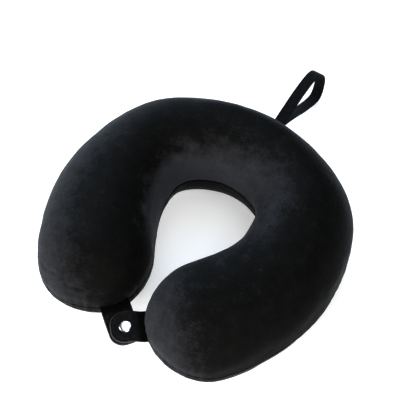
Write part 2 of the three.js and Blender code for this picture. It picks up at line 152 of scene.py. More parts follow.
# Square lights round the pillow: degrees round from -Y towards +X, degrees up, watts and colour.
NEUTRAL, BLUISH = (1, 1, 1), (0.6, 0.79, 1)
LIGHTS = {
    "left": (-48, 22, 10.5, NEUTRAL),
    "right": (45, 16, 7.5, NEUTRAL),
    "front": (-12, 18, 21, NEUTRAL),
    "high_right": (65, 45, 10, NEUTRAL),
    "back": (-146, 55, 9, BLUISH),
    "back_left": (-120, 18, 20, BLUISH),
    "top": (-146, 85, 4, NEUTRAL),
}
LIGHT_SIZE, LIGHT_DISTANCE, LIGHT_TARGET = 0.8, 1.4, (0, -0.044, 0.04)
NO_HIGHLIGHT = {"front"}  # lights that the snap's metal doesn't mirror
WORLD_STRENGTH = 0.12
FLOOR = {"half": 4000, "level": -0.4, "glow": 0.4}  # it glows a little, as a light box does


# Meshes

def linked(name, data):
    """A new object in the scene."""
    thing = bpy.data.objects.new(name, data)
    bpy.context.scene.collection.objects.link(thing)
    return thing


def new_object(name, points, faces, smooth=True, painted_shading=None):
    """A mesh object from points in millimetres."""
    mesh = bpy.data.meshes.new(name)
    mesh.from_pydata((np.reshape(points, (-1, 3)) * MM).tolist(), [], faces)
    if painted_shading is not None:
        # An attribute of painted light and shade, for the shaders.
        mesh.attributes.new("painted_shading", "FLOAT", "POINT").data.foreach_set("value", painted_shading)
    form = bmesh.new()
    form.from_mesh(mesh)
    bmesh.ops.remove_doubles(form, verts=form.verts, dist=2e-6)
    bmesh.ops.dissolve_degenerate(form, edges=form.edges, dist=1e-7)
    bmesh.ops.recalc_face_normals(form, faces=form.faces)
    form.to_mesh(mesh)
    form.free()
    mesh.polygons.foreach_set("use_smooth", [smooth] * len(mesh.polygons))
    return linked(name, mesh)


def grid_faces(rows, columns, start=0, closed=False):
    """The faces of a grid of points, row after row. A closed grid joins its last column to its first."""
    spans = columns if closed else columns - 1
    faces = []
    for i in range(rows - 1):
        for j in range(spans):
            k = (j + 1) % columns
            a, b = start + i * columns, start + (i + 1) * columns
            faces.append((a + j, a + k, b + k, b + j))
    return faces


def swept_faces(rows, columns):
    """The faces of a closed section swept along a path, with its two ends."""
    last = (rows - 1) * columns
    ends = [tuple(range(columns)), tuple(range(last, last + columns))]
    return grid_faces(rows, columns, closed=True) + ends


def evaluated_copy(piece, name):
    """A new object with the piece's modifiers applied."""
    bpy.context.view_layer.update()
    result = piece.evaluated_get(bpy.context.evaluated_depsgraph_get())
    mesh = bpy.data.meshes.new_from_object(result)
    mesh.name = name
    return linked(name, mesh)


def smoothstep(value, low, high):
    share = np.clip((value - low) / (high - low), 0, 1)
    return share * share * (3 - 2 * share)


def whole_turn(steps):
    """Evenly spaced angles once round."""
    return np.linspace(0, 2 * math.pi, steps, endpoint=False)


def hump(value, middle, width):
    """1 at the middle, falling away smoothly on both sides."""
    return np.exp(-((value - middle) / width) ** 2)


def distances_along(path):
    return np.concatenate([[0], np.cumsum(norm(np.diff(path, axis=0), axis=1))])


def points_at(places, distances, path):
    """A plane path's points at some distances along it."""
    return np.stack([np.interp(places, distances, path[:, k]) for k in (0, 1)], axis=-1)


# The body's surface

def centripetal(a, b, c, d, t):
    """One span of a centripetal Catmull-Rom curve, from b to c, and its direction."""
    gaps = [max(float(np.sum((q - p) ** 2)) ** 0.25, 1e-6) for p, q in ((a, b), (b, c), (c, d))]
    first = ((b - a) / gaps[0] - (c - a) / (gaps[0] + gaps[1]) + (c - b) / gaps[1]) * gaps[1]
    second = ((c - b) / gaps[1] - (d - b) / (gaps[1] + gaps[2]) + (d - c) / gaps[2]) * gaps[1]
    square = -3 * b + 3 * c - 2 * first - second
    cube = 2 * b - 2 * c + first + second
    t = t[:, None]
    return b + first * t + square * t ** 2 + cube * t ** 3, first + 2 * square * t + 3 * cube * t ** 2


def spine_table():
    """The spine's points, directions and distances, from the right tip to the left one."""
    knots = np.array(SPINE[::-1] + [(-x, y) for x, y in SPINE[1:]], float)
    knots = np.vstack([2 * knots[0] - knots[1], knots, 2 * knots[-1] - knots[-2]])
    steps = np.linspace(0, 1, SPINE_STEPS, endpoint=False)
    spans = [centripetal(*knots[i:i + 4], steps) for i in range(len(knots) - 3)]
    points = np.vstack([span[0] for span in spans] + [knots[-2:-1]])
    directions = np.vstack([span[1] for span in spans] + [spans[-1][1][-1:]])
    directions /= norm(directions, axis=1)[:, None]
    return points, directions, distances_along(points)


SPINE_POINTS, SPINE_DIRECTIONS, SPINE_DISTANCES = spine_table()
SPINE_LENGTH = SPINE_DISTANCES[-1]


def bezier(values, t):
    a, b, c, d = values
    s = 1 - t
    return s ** 3 * a + 3 * s * s * t * b + 3 * s * t * t * c + t ** 3 * d


def ring_distances(tip_rings, body_rings, inset=0.0):
    """Distances along the spine, closer together where an arm rounds off."""
    turns = np.linspace(0, math.pi / 2, tip_rings + 1)[:-1]
    tip = inset + (TIP_LENGTH - inset) * (1 - np.cos(turns))
    middle = np.linspace(TIP_LENGTH, SPINE_LENGTH - TIP_LENGTH, body_rings + 1)
    return np.concatenate([tip, middle, SPINE_LENGTH - tip[::-1]])


def body_points(distances, angles, inset=0.0):
    """The body's surface in millimetres. Angles run from the outer seam over the crown."""
    distance, angle = np.asarray(distances)[:, None], np.asarray(angles)[None, :]
    centre = points_at(distance, SPINE_DISTANCES, SPINE_POINTS)
    direction = points_at(distance, SPINE_DISTANCES, SPINE_DIRECTIONS)
    direction /= norm(direction, axis=-1, keepdims=True)
    from_tip = np.minimum(distance, SPINE_LENGTH - distance)
    closing = np.clip((TIP_LENGTH - from_tip) / (TIP_LENGTH - inset), 0, 1)
    reach = np.abs(2 * distance / SPINE_LENGTH - 1)
    across, up = np.cos(angle), np.sin(angle)
    round_off = np.sqrt(1 - closing ** 2)
    low_round_off = (1 - closing ** OUTER_ROUNDNESS) ** (1 / OUTER_ROUNDNESS)
    low = np.where(across > 0, OUTER_ROUNDNESS, INNER_ROUNDNESS)
    power = 2 / np.where(up > 0, TOP_ROUNDNESS, low)
    out = (bezier(HALF_WIDTH, reach) - inset) * round_off * np.sign(across) * np.abs(across) ** power
    crown = (bezier(CROWN, reach) - inset) * round_off
    depth = (DEPTH - inset) * low_round_off
    height = np.where(up > 0, crown, depth) * np.sign(up) * np.abs(up) ** power
    return np.stack([
        centre[..., 0] + direction[..., 1] * out,
        centre[..., 1] - direction[..., 0] * out,
        np.maximum(inset, SEAM_Z + height),
    ], axis=-1)


def point_normals(grid):
    """Outward normals of a grid of points, which may close to one point at its first and last row."""
    along = np.gradient(grid, axis=0)
    round_ = np.gradient(grid, axis=1)
    normals = np.cross(along, round_)
    size = norm(normals, axis=2, keepdims=True)
    normals = normals / np.maximum(size, 1e-12)
    for end, inner in ((0, 1), (-1, -2)):
        normals[end] = normals[inner].mean(axis=0)
        normals[end] /= norm(normals[end], axis=1, keepdims=True)
    return normals


def blurred(grid):
    """The grid blurred from ring to ring."""
    rings = EASING["rings"]
    spread = np.exp(-0.5 * (np.arange(-rings, rings + 1) / (rings / EASING["spread"])) ** 2)
    spread /= spread.sum()
    padded = np.pad(grid, ((rings, rings), (0, 0), (0, 0)), mode="edge")
    return sum(weight * padded[i:i + len(grid)] for i, weight in enumerate(spread))


def eased(grid, angles):
    """The grid with the inner side of its bends evened out along the spine, where rings crowd together."""
    inner = smoothstep(-np.cos(angles), *EASING["inside"])[None, :, None]
    middle = smoothstep(np.arange(len(grid)) / TIP_RINGS, *EASING["tips"])[:, None, None]
    middle = middle * middle[::-1]
    once = blurred(grid)
    # Twice the first blur less the second keeps the size of the bend.
    smooth = 2 * once - blurred(once)
    return grid + (smooth - grid) * inner * middle


def noise_at(points, size, seed):
    """Noise between -1 and 1, with waves of about a size in millimetres."""
    offset = Vector([seed * step for step in NOISE_STEPS])
    values = [noise.noise(Vector(p) * (1 / size) + offset) for p in points.reshape(-1, 3)]
    return np.array(values).reshape(points.shape[:-1])


def layered_noise(points, layers):
    """The sum of some noises, each with its height, size and seed."""
    return sum(height * noise_at(points, size, seed) for height, size, seed in layers)


# The tabs' own frames

def tab_axes(tab):
    """Where the tab leaves the seam, and its directions along and across, in plan."""
    slope = math.radians(tab["slope"])
    along = np.array([-tab["side"] * math.cos(slope), -math.sin(slope)])
    across = np.array([-along[1], along[0]])
    root = np.array(SNAP) - along * tab["reach"]
    return root, along, across


def side_scaled(tab, across, share):
    """Distances across a tab, scaled on its side towards the inside of the U."""
    return np.where(np.asarray(across) * tab["side"] < 0, np.multiply(across, share), across)


def tab_coordinates(tab, plan):
    root, along, across = tab_axes(tab)
    offset = plan - root
    return offset @ along, side_scaled(tab, offset @ across, 1 / tab["inner_share"])


def tab_point(tab, along_distance, across_distance, height):
    root, along, across = tab_axes(tab)
    across_distance = side_scaled(tab, across_distance, tab["inner_share"])
    plan = root + np.multiply.outer(along_distance, along) + np.multiply.outer(across_distance, across)
    return np.concatenate([plan, (SEAM_Z + np.asarray(height))[..., None]], axis=-1)


def zip_share(plan):
    """1 along the zipper and 0 away from it."""
    x, y = plan[..., 0] - ZIP["x"], plan[..., 1] - ZIP["y"]
    angle = np.degrees(np.arctan2(-x, y))
    ends = smoothstep(angle, ZIP["from"], ZIP["from"] + ZIP["end"])
    ends = ends * (1 - smoothstep(angle, ZIP["to"] - ZIP["end"], ZIP["to"]))
    return ends * smoothstep(np.hypot(x, y), *ZIP["inside"])


def seam_opening(plan):
    """How far each panel's edge stands off the seam, where something comes out of it."""
    opening = np.full(plan.shape[:-1], PARTING)
    for tab in (UPPER, LOWER):
        along, across = tab_coordinates(tab, plan)
        share = 1 - smoothstep(np.abs(across), *OPENING["tab_across"])
        share = share * (1 - smoothstep(np.abs(along), *OPENING["tab_along"]))
        opening = np.maximum(opening, share * (TAB["half_thickness"] + OPENING["round_tab"]))
    loop = 1 - smoothstep(np.abs(plan[..., 0] - LOOP["x"]), *OPENING["loop_across"])
    loop = loop * smoothstep(plan[..., 1], *OPENING["loop_from"])
    opening = np.maximum(opening, loop * OPENING["loop"])
    return np.maximum(opening, zip_share(plan) * ZIP["opening"])


# The cover

def simulated_skin():
    """A cloth skin on the body, blown up a little and drawn in along the seam.

    Gives its points before, its triangles, and how far each point moved outwards.
    """
    distances = ring_distances(SKIN["rings"], SKIN["body_rings"])
    angles = whole_turn(SKIN["sides"])
    faces = grid_faces(len(distances), len(angles), closed=True)
    form = new_object("skin_form", body_points(distances, angles), faces)
    remesh = form.modifiers.new("even", "REMESH")
    remesh.mode = "VOXEL"
    remesh.voxel_size = SKIN["voxel"]
    skin = evaluated_copy(form, "skin")
    bpy.data.objects.remove(form)

    before = np.array([v.co for v in skin.data.vertices])
    normals = np.array([v.normal for v in skin.data.vertices])
    seam = skin.vertex_groups.new(name="seam")
    for index, weight in enumerate(hump(before[:, 2], SEAM_Z * MM, SKIN["seam_reach"])):
        seam.add([index], float(weight), "REPLACE")
    cloth = skin.modifiers.new("cloth", "CLOTH")
    for setting, value in CLOTH.items():
        setattr(cloth.settings, setting, value)
    cloth.settings.effector_weights.gravity = 0
    cloth.point_cache.frame_start = 1
    cloth.point_cache.frame_end = SKIN["frames"]
    scene = bpy.context.scene
    for step in range(1, SKIN["frames"] + 1):
        scene.frame_set(step)
    result = skin.evaluated_get(bpy.context.evaluated_depsgraph_get())
    after = np.array([v.co for v in result.data.vertices])
    scene.frame_set(1)
    moved = np.sum((after - before) * normals, axis=1)
    skin.data.calc_loop_triangles()
    triangles = [tuple(t.vertices) for t in skin.data.loop_triangles]
    bpy.data.objects.remove(skin)
    return before, triangles, moved


def swelling(skin, points):
    """The skin's own movement at these points, in millimetres, less what most of it moves."""
    before, triangles, moved = skin
    moved = (moved - np.percentile(moved, SKIN["common_percent"])) / MM
    tree = BVHTree.FromPolygons([tuple(p) for p in before], triangles)
    values = []
    for point in points.reshape(-1, 3) * MM:
        place, _, index, _ = tree.find_nearest(Vector(point))
        a, b, c = (Vector(before[i]) for i in triangles[index])
        corners = moved[list(triangles[index])]
        areas = [(b - place).cross(c - place).length, (c - place).cross(a - place).length,
                 (a - place).cross(b - place).length]
        values.append(float(np.dot(areas, corners)) / max(sum(areas), 1e-15))
    field = np.array(values).reshape(points.shape[:-1])
    field = SKIN["most"] * np.tanh(field / SKIN["most"])
    for _ in range(SKIN["smoothings"]):
        field[1:-1] = (field[:-2] + 2 * field[1:-1] + field[2:]) / 4
        field[:, 1:-1] = (field[:, :-2] + 2 * field[:, 1:-1] + field[:, 2:]) / 4
    return field


def crease_depth(from_tip, from_seam):
    place = np.stack(np.broadcast_arrays(from_tip, from_seam), axis=-1)
    depth = np.zeros(place.shape[:-1])
    for start, end in np.array(CREASES, float):
        span = end - start
        share = np.clip((place - start) @ span / (span @ span), 0, 1)
        away = norm(place - start - share[..., None] * span, axis=-1)
        depth = np.maximum(depth, CREASE_DEPTH * hump(away, 0, CREASE_WIDTH))
    return depth


def relief(sign, distances, base, rim, from_outer, from_inner):
    """How far a panel stands out from the body: it is uneven, puckered along the seam, and fuller at
    the right arm's end. The top panel has its creases and bulge as well."""
    from_tip = np.minimum(distances, SPINE_LENGTH - distances)[:, None]
    at_tip = 1 - smoothstep(from_tip, *PUCKER["tip"])
    pucker = noise_at(rim, PUCKER["size"], PUCKER["seed"])
    pucker = pucker * np.exp(-np.minimum(from_outer, from_inner) / PUCKER["reach"])
    move = layered_noise(base, UNEVEN) + pucker * (PUCKER["height"] + PUCKER["tip_height"] * at_tip)
    fuller = 1 - smoothstep(base[..., 0], *FULLNESS["across"])
    fuller = fuller * (1 - smoothstep(distances, *FULLNESS["along"]))[:, None]
    move = move + FULLNESS["height"] * fuller
    if sign < 0:
        return move
    apart = norm(base[..., :2] - np.array(BULGE["centre"]), axis=-1) / BULGE["radius"]
    bulge = BULGE["height"] * smoothstep(from_inner, *BULGE["rise"]) * np.exp(-apart ** 2 / 2)
    return move + bulge - crease_depth((SPINE_LENGTH - distances)[:, None], from_outer)


def panel_grid(sign, skin):
    """One panel's outer surface, in millimetres. sign is 1 for the top panel, -1 for the bottom."""
    distances = ring_distances(TIP_RINGS, BODY_RINGS)
    share = np.linspace(0, 1, SIDES)
    share = share - SIDE_CROWDING * np.sin(2 * math.pi * share) / (2 * math.pi)
    angles = math.pi * share * sign
    base = eased(body_points(distances, angles), angles)
    normals = point_normals(base) * sign
    plan = base[..., :2]
    rim = base.copy()
    rim[..., 2] = SEAM_Z

    steps = norm(np.diff(base, axis=1), axis=2)
    from_outer = np.concatenate([np.zeros((len(base), 1)), np.cumsum(steps, axis=1)], axis=1)
    from_inner = from_outer[:, -1:] - from_outer
    move = relief(sign, distances, base, rim, from_outer, from_inner)
    if skin is not None:
        move = move + swelling(skin, base)

    # The panel rolls into the seam.
    lip = LIP["radius"] * (1 - LIP["less_at_zipper"] * zip_share(plan))
    lip = lip * (1 + LIP["uneven"] * noise_at(rim, LIP["size"], LIP["seed"]))
    left = np.clip(1 - np.minimum(from_outer, from_inner) / lip, 0, 1)
    move = move - lip * (1 - np.sqrt(1 - left ** 2))
    # Ringed by the tip's rows, the last point of an arm takes what its neighbours have.
    for end, inner in ((0, 1), (-1, -2)):
        move[end] = move[inner].mean()
    grid = base + normals * move[..., None]
    above = np.maximum(sign * (grid[..., 2] - SEAM_Z), 0)
    grid[..., 2] = SEAM_Z + sign * np.sqrt(above ** 2 + seam_opening(plan) ** 2)
    grid[..., 2] = np.maximum(grid[..., 2], 0)
    for end in (0, -1):
        grid[end] = grid[end].mean(axis=0)
    return grid


def painted_shading_shares(grid, normals, sign):
    """Painted light and shade at each point: paler where the surface faces the front-left and inside the U,
    darker where it faces away.
    """
    facing = normals @ np.array(Vector(PAINTED_SHADING["facing"]).normalized())
    share = np.where(facing > 0, PAINTED_SHADING["pale"] * np.abs(facing) ** PAINTED_SHADING["power"], PAINTED_SHADING["dark"] * facing)
    from_tip = np.linspace(0, 1, len(grid))
    from_tip = np.minimum(from_tip, 1 - from_tip)[:, None]
    across = np.linspace(0, 1, grid.shape[1])[None, :]
    across = across + layered_noise(grid, PAINTED_SHADING["borders"])
    # The bottom panel keeps its painted paleness only near the outer seam and the tips.
    if sign < 0:
        below = smoothstep(across, *PAINTED_SHADING["under_rows"]) * smoothstep(from_tip, *PAINTED_SHADING["under_rings"])
        return np.minimum(share, share * (1 - below))
    # Painted light on the top panel's inner slope.
    inside = smoothstep(across, *PAINTED_SHADING["inner_rows"]) * smoothstep(from_tip, *PAINTED_SHADING["inner_rings"])
    return share + inside * (PAINTED_SHADING["inner"] + PAINTED_SHADING["inner_side"] * normals[..., 0])


def panel(name, sign, skin):
    outer = panel_grid(sign, skin)
    normals = point_normals(outer) * sign
    inner = outer - normals * COVER
    inner[..., 2] = np.maximum(inner[..., 2], COVER if sign < 0 else 0)
    for end in (0, -1):
        inner[end] = inner[end].mean(axis=0)
    rows, columns = outer.shape[:2]
    count = rows * columns
    faces = grid_faces(rows, columns) + grid_faces(rows, columns, start=count)
    for edge in (0, columns - 1):
        for i in range(rows - 1):
            a, b = i * columns + edge, (i + 1) * columns + edge
            faces.append((a, b, b + count, a + count))
    return new_object(name, [outer, inner], faces, painted_shading=np.tile(painted_shading_shares(outer, normals, sign).ravel(), 2))


def inner_body(name, inset, shell=None):
    """A closed body inside the cover, solid, or a shell of a thickness."""
    points, faces = [], []
    for depth in [inset] if shell is None else [inset, inset + shell]:
        distances = ring_distances(INNER_RINGS, INNER_BODY_RINGS, depth)
        grid = body_points(distances, whole_turn(INNER_SIDES), depth)
        faces += grid_faces(*grid.shape[:2], start=sum(len(p) for p in points), closed=True)
        points.append(grid.reshape(-1, 3))
    return new_object(name, np.vstack(points), faces)


# Materials

def shader(name, **sockets):
    material = bpy.data.materials.new(name)
    material.use_nodes = True
    base = material.node_tree.nodes["Principled BSDF"]
    for socket, value in sockets.items():
        base.inputs[socket.replace("_", " ")].default_value = value
    return material, material.node_tree, base


def noise_node(tree, scale, detail=2.0, roughness=0.5):
    """Noise over the object's own coordinates."""
    place = tree.nodes.new("ShaderNodeTexCoord").outputs["Object"]
    node = tree.nodes.new("ShaderNodeTexNoise")
    node.inputs["Scale"].default_value = scale
    node.inputs["Detail"].default_value = detail
    node.inputs["Roughness"].default_value = roughness
    tree.links.new(place, node.inputs["Vector"])
    return node.outputs["Fac"]


def ramp_node(tree, value, stops):
    node = tree.nodes.new("ShaderNodeValToRGB")
    elements = node.color_ramp.elements
    for index, (place, colour) in enumerate(stops):
        element = elements[index] if index < 2 else elements.new(place)
        element.position = place
        element.color = (*colour, 1)
    tree.links.new(value, node.inputs["Fac"])
    return node.outputs["Color"]


def math_node(tree, operation, *values):
    """The result of an operation on some numbers or other nodes' results."""
    node = tree.nodes.new("ShaderNodeMath")
    node.operation = operation
    for socket, value in zip(node.inputs, values):
        if isinstance(value, float):
            socket.default_value = value
        else:
            tree.links.new(value, socket)
    return node.outputs[0]


def bump_node(tree, height, distance, strength=1.0, before=None):
    node = tree.nodes.new("ShaderNodeBump")
    node.inputs["Distance"].default_value = distance
    node.inputs["Strength"].default_value = strength
    tree.links.new(height, node.inputs["Height"])
    if before is not None:
        tree.links.new(before, node.inputs["Normal"])
    return node.outputs["Normal"]


def painted_shading_value(tree):
    node = tree.nodes.new("ShaderNodeAttribute")
    node.attribute_name = "painted_shading"
    return node.outputs["Fac"]


def velour():
    """Short brushed pile: mottled, with painted light and shade, paler where the surface faces the
    front-left and inside the U.
    """
    material, tree, base = shader(
        "velour", Roughness=0.6, Sheen_Weight=VELOUR["sheen"], Sheen_Roughness=0.25,
        Sheen_Tint=(0.75, 0.8, 0.92, 1), Specular_IOR_Level=VELOUR["specular"])
    mottle = noise_node(tree, scale=80, detail=5, roughness=0.65)
    grain = noise_node(tree, scale=420, detail=4, roughness=0.7)
    # Painted light and shade, read from the mesh's attribute.
    tone = painted_shading_value(tree)
    for noise_value, share in ((mottle, "mottle_share"), (grain, "grain_share")):
        tone = math_node(tree, "MULTIPLY_ADD", noise_value, VELOUR[share], tone)
    tree.links.new(ramp_node(tree, tone, VELOUR["tones"]), base.inputs["Base Color"])
    brushed = bump_node(tree, mottle, distance=0.0009, strength=0.8)
    piled = bump_node(tree, grain, distance=0.0006, strength=0.8, before=brushed)
    tree.links.new(piled, base.inputs["Normal"])
    return material


def woven(name, dark, light, wave_number, sheen, depth=0.00012):
    """A plain weave over a UV map in metres, with some worn threads. Wave number in radians a metre."""
    material, tree, base = shader(
        name, Roughness=0.8, Sheen_Weight=sheen, Sheen_Roughness=0.3, Specular_IOR_Level=0.05)
    uv = tree.nodes.new("ShaderNodeUVMap")
    uv.uv_map = "cloth"
    waves = []
    for direction in "XY":
        wave = tree.nodes.new("ShaderNodeTexWave")
        wave.bands_direction = direction
        wave.inputs["Scale"].default_value = wave_number / WAVE_UNIT
        wave.inputs["Distortion"].default_value = 0.6
        tree.links.new(uv.outputs["UV"], wave.inputs["Vector"])
        waves.append(wave.outputs["Fac"])
    cross = math_node(tree, "MULTIPLY", *waves)
    worn = noise_node(tree, scale=260, detail=6, roughness=0.7)
    mix = math_node(tree, "MULTIPLY_ADD", cross, WEAVE_SHARE, worn)
    tone = math_node(tree, "ADD", mix, painted_shading_value(tree))
    # The top stop is a painted highlight and the bottom stop painted shade, reached through the painted
    # light attribute.
    painted_highlight = tuple(PAINTED_EDGE_HIGHLIGHT * value for value in light)
    shaded = tuple(SHADED_ROOT * value for value in dark)
    stops = [(0, shaded), (0.35, dark), (0.85, light), (1.0, painted_highlight)]
    tree.links.new(ramp_node(tree, tone, stops), base.inputs["Base Color"])
    rough = bump_node(tree, worn, distance=0.0002, strength=0.5)
    threaded = bump_node(tree, cross, depth, strength=0.8, before=rough)
    tree.links.new(threaded, base.inputs["Normal"])
    return material


def plain(name, dark, light, scale, depth, **sockets):
    """A speckled or mottled finish with a matching bump."""
    material, tree, base = shader(name, **sockets)
    speckle = noise_node(tree, scale, detail=4)
    colour = ramp_node(tree, speckle, [(0.35, dark), (0.7, light)])
    tree.links.new(colour, base.inputs["Base Color"])
    tree.links.new(bump_node(tree, speckle, depth, strength=0.5), base.inputs["Normal"])
    return material


def metal(name, dark, light, roughness):
    """Plated metal with faint wipe marks in its gloss."""
    material, tree, base = shader(name, Metallic=1.0)
    wiped = noise_node(tree, scale=420, detail=5)
    colour = ramp_node(tree, wiped, [(0.3, dark), (0.7, light)])
    tree.links.new(colour, base.inputs["Base Color"])
    gloss = tree.nodes.new("ShaderNodeMapRange")
    for socket, share in zip(("To Min", "To Max"), GLOSS_SPREAD):
        gloss.inputs[socket].default_value = roughness * share
    tree.links.new(wiped, gloss.inputs["Value"])
    tree.links.new(gloss.outputs["Result"], base.inputs["Roughness"])
    return material


def finish(piece, material, body, slot, *nodes):
    piece.data.materials.clear()
    piece.data.materials.append(material)
    if body:
        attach(piece, body)
    if nodes:
        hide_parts(*nodes)


def grid_pairs(along, across):
    """Each distance along with each distance across."""
    return np.stack(np.meshgrid(along, across, indexing="ij"), -1).reshape(-1, 2)


def map_cloth(piece, coordinates):
    """Stores coordinates along and across the cloth, in metres, one pair for each point."""
    layer = piece.data.uv_layers.new(name="cloth")
    for loop in piece.data.loops:
        layer.data[loop.index].uv = coordinates[loop.vertex_index]


# The tabs

def tab_bend(tab, along):
    rise = smoothstep(np.asarray(along, float), 0, tab["reach"] * TAB["bend_share"])
    return tab["side"] * TAB["rise"] * rise


def wall_along(tab, across):
    """How far along the tab's own axis the body's wall is, at a distance across."""
    rings = ring_distances(TAB_WALL["rings"], TAB_WALL["body_rings"])
    plan = np.vstack([body_points(rings, [angle])[:, 0, :2] for angle in (0.0, math.pi)])
    along, side = tab_coordinates(tab, plan)
    near = (along > -TAB_WALL["along"]) & (np.abs(side) < TAB_WALL["across"])
    order = np.argsort(side[near])
    return np.interp(across, side[near][order], along[near][order])


def straight_end(tab):
    """How far along a tab its round end starts."""
    return tab["reach"] + TAB["overhang"] - TAB["end_radius"]


def round_end(tab, turns):
    """Points of a tab's round end, as distances along, and across on one side."""
    along = straight_end(tab) + TAB["end_radius"] * np.sin(turns)
    return along, TAB["width"] / 2 - TAB["end_radius"] * (1 - np.cos(turns))


def tab_outline(tab):
    """The free edge of a tab, as pairs of distance along and across."""
    side = [(a, TAB["width"] / 2)
            for a in np.linspace(EDGE["from"], straight_end(tab), EDGE["side"], endpoint=False)]
    corner = round_end(tab, np.linspace(0, math.pi / 2, EDGE["corner"]))
    half = np.vstack([side, np.stack(corner, axis=1)])
    return np.vstack([half, half[::-1] * (1, -1)])


def edge_distance(along, across, outline):
    a, b = outline[:-1], outline[1:]
    span = b - a
    offset = np.stack([along, across], axis=-1)[..., None, :] - a
    share = np.clip((offset * span).sum(-1) / np.maximum((span ** 2).sum(-1), 1e-12), 0, 1)
    return norm(offset - share[..., None] * span, axis=-1).min(axis=-1)


def tab_grid(tab):
    """Distances along and across a tab: from its sewn edge, along its straight sides, round its end."""
    quarter = math.pi / 2
    cells = np.sin(np.linspace(-1, 1, TAB_ROWS["columns"]) * quarter * TAB_ROWS["crowding"])
    cells = cells / cells[-1]
    sides = cells * TAB["width"] / 2
    start = wall_along(tab, sides) - TAB["sewn_in"]
    rows = [(start + share * (TAB["root"] - start), sides)
            for share in np.linspace(0, 1, TAB_ROWS["root"], endpoint=False)]
    for place in np.linspace(TAB["root"], straight_end(tab), TAB_ROWS["straight"], endpoint=False):
        rows.append((np.full(len(cells), place), sides))
    for place, half in zip(*round_end(tab, np.linspace(0, quarter, TAB_ROWS["corner"]))):
        rows.append((np.full(len(cells), place), cells * half))
    return np.array([row[0] for row in rows]), np.array([row[1] for row in rows])


def tab_thickness(tab, along, across, away):
    """Half a tab's thickness: a round edge, a raised hem, a groove for the thread, a dent at the snap."""
    half = TAB["half_thickness"]
    thickness = half * np.sqrt(1 - (1 - np.clip(away / half, 0, 1)) ** 2)
    thickness = thickness * (1 + HEM["height"] * hump(away, HEM["inset"], HEM["width"]))
    thickness = thickness - GROOVE["depth"] * hump(away, STITCH["inset"], GROOVE["width"])
    from_snap = np.hypot(along - tab["reach"], across)
    return thickness - DENT["depth"] * (1 - smoothstep(from_snap, *DENT["rim"]))


def tab_painted_light(along, away):
    """What a tab's tone gains as a painted highlight along its edge and loses as painted shade at its root.
    """
    pale = hump(away, 0, EDGE_AND_ROOT_SHADING["edge"]) * smoothstep(along, *EDGE_AND_ROOT_SHADING["edge_from"])
    return pale - EDGE_AND_ROOT_SHADING["root"] * (1 - smoothstep(along, *EDGE_AND_ROOT_SHADING["root_to"]))


def tab_piece(tab):
    """A stitched fabric tab. Its two sides meet at the free edge, and a strip closes its sewn edge."""
    along, across = tab_grid(tab)
    away = edge_distance(along, across, tab_outline(tab))
    thickness = tab_thickness(tab, along, across, away)
    middle = tab_bend(tab, along)
    place = np.stack([along, across, middle], -1)
    soft = SOFTNESS["height"] * noise_at(place, SOFTNESS["size"], SOFTNESS["seed"] + tab["side"])
    middle = middle + soft * smoothstep(away, *SOFTNESS["edge"]) * smoothstep(along, *SOFTNESS["root"])
    top = tab_point(tab, along, across, middle + thickness)
    bottom = tab_point(tab, along, across, middle - thickness)
    shape = along.shape
    count = shape[0] * shape[1]
    faces = grid_faces(*shape) + grid_faces(*shape, start=count)
    faces += [(j, j + 1, j + 1 + count, j + count) for j in range(shape[1] - 1)]
    # The tab carries its painted highlight and painted shade for the shader.
    piece = new_object(tab["name"], [top, bottom], faces, painted_shading=np.tile(tab_painted_light(along, away).ravel(), 2))
    plan = np.array([v.co.xy for v in piece.data.vertices]) / MM
    map_cloth(piece, np.stack(tab_coordinates(tab, plan), axis=1) * MM)
    return piece


def stitch():
    """One stitch: a rounded bar along X that dips into the cloth at both ends."""
    radius = STITCH["radius"]
    points = []
    for share in np.linspace(-1, 1, STITCH["rings"]):
        size = radius * math.sqrt(1 - abs(share) ** 3)
        dip = STITCH["droop"] * radius * share ** 2
        for turn in whole_turn(STITCH["sides"]):
            points.append((share * STITCH["length"] / 2, size * math.cos(turn), size * math.sin(turn) - dip))
    return np.array(points), grid_faces(STITCH["rings"], STITCH["sides"], closed=True)


def tab_stitches(tab):
    """The thread round a tab, on both of its sides."""
    outline = tab_outline(tab)
    along = np.diff(outline, axis=0)
    inward = np.stack([along[:, 1], -along[:, 0]], axis=1) / norm(along, axis=1)[:, None]
    path = outline[:-1] + inward * STITCH["inset"]
    path = path[path[:, 0] > STITCH["from"]]
    lengths = distances_along(path)
    count = int(lengths[-1] / STITCH["pitch"])
    unit, unit_faces = stitch()
    points, faces = [], []
    for i in range(count):
        middle = (i + 0.5) / count * lengths[-1]
        place, ahead = points_at([middle, middle + STITCH["ahead"]], lengths, path)
        direction = (ahead - place) / norm(ahead - place)
        for side in (1, -1):
            local = unit * [1, 1, side]
            a = place[0] + local[:, 0] * direction[0] - local[:, 1] * direction[1]
            b = place[1] + local[:, 0] * direction[1] + local[:, 1] * direction[0]
            level = tab_bend(tab, a) + side * (TAB["half_thickness"] - STITCH["radius"]) + local[:, 2]
            start = len(points) * len(unit)
            points.append(tab_point(tab, a, b, level))
            faces += [tuple(start + k for k in face) for face in unit_faces]
    return new_object(tab["name"] + "_stitching", points, faces)


# The press stud

def turned(name, tab, profile, level):
    """A round piece about the snap's axis, from [radius, height] points in millimetres."""
    x, y, z = tab_point(tab, tab["reach"], 0.0, level)
    points = [(x + radius * math.cos(turn), y + radius * math.sin(turn), z + height)
              for radius, height in profile for turn in whole_turn(SNAP_SIDES)]
    return new_object(name, points, grid_faces(len(profile), SNAP_SIDES, closed=True))


def arc(centre, radius, start, end, steps, height=None):
    """Points of an arc in a profile, or of an ellipse's, by angles in degrees from the radius direction."""
    turns = np.radians(np.linspace(start, end, steps))
    height = height or radius
    return [(centre[0] + radius * math.cos(t), centre[1] + height * math.sin(t)) for t in turns]


